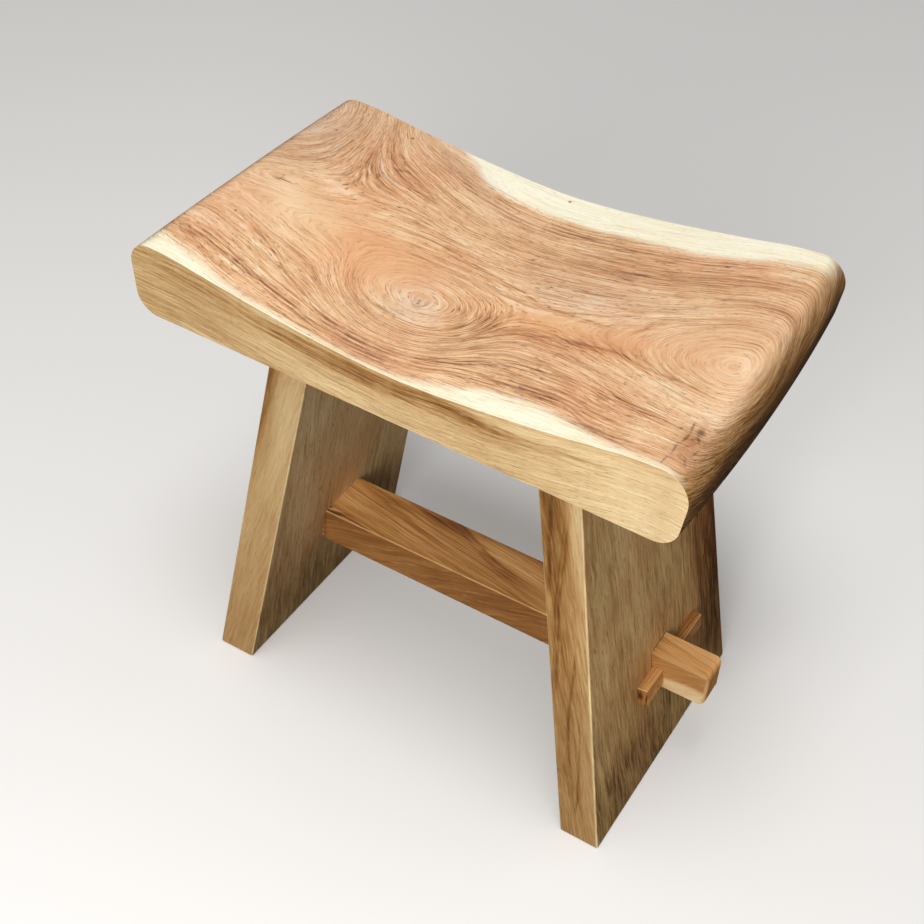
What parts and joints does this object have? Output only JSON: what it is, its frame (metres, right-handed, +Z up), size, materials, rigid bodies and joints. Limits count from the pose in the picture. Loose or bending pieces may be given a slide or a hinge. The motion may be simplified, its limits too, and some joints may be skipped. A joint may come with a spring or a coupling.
{
  "type": "wooden stool",
  "caption": "Solid-wood stool: hollowed slab seat with rounded ends on splayed slab legs, tied by a keyed through-tenon stretcher.",
  "frame": {"origin": "on the floor, under the middle of the stool's outline, which is midway between the two feet", "axes": "+X to the right along the seat's length, +Y to the back, +Z up"},
  "size_m": [0.4758, 0.2893, 0.45],
  "materials": {
    "seat_wood": "satin oiled",
    "leg_wood": "satin oiled",
    "stretcher_wood": "satin oiled",
    "key_wood": "satin oiled"
  },
  "bodies": {
    "frame": {"seat": "seat_wood", "left_leg": "leg_wood", "right_leg": "leg_wood", "stretcher": "stretcher_wood"},
    "left_key": {"left_key": "key_wood"},
    "right_key": {"right_key": "key_wood"}
  },
  "joints": [
    {"name": "left_key_slide", "type": "slide", "parent": "frame", "child": "left_key", "axis": [0, -1, 0], "range_m": [0, 0.064]},
    {"name": "right_key_slide", "type": "slide", "parent": "frame", "child": "right_key", "axis": [0, -1, 0], "range_m": [0, 0.064]}
  ]
}
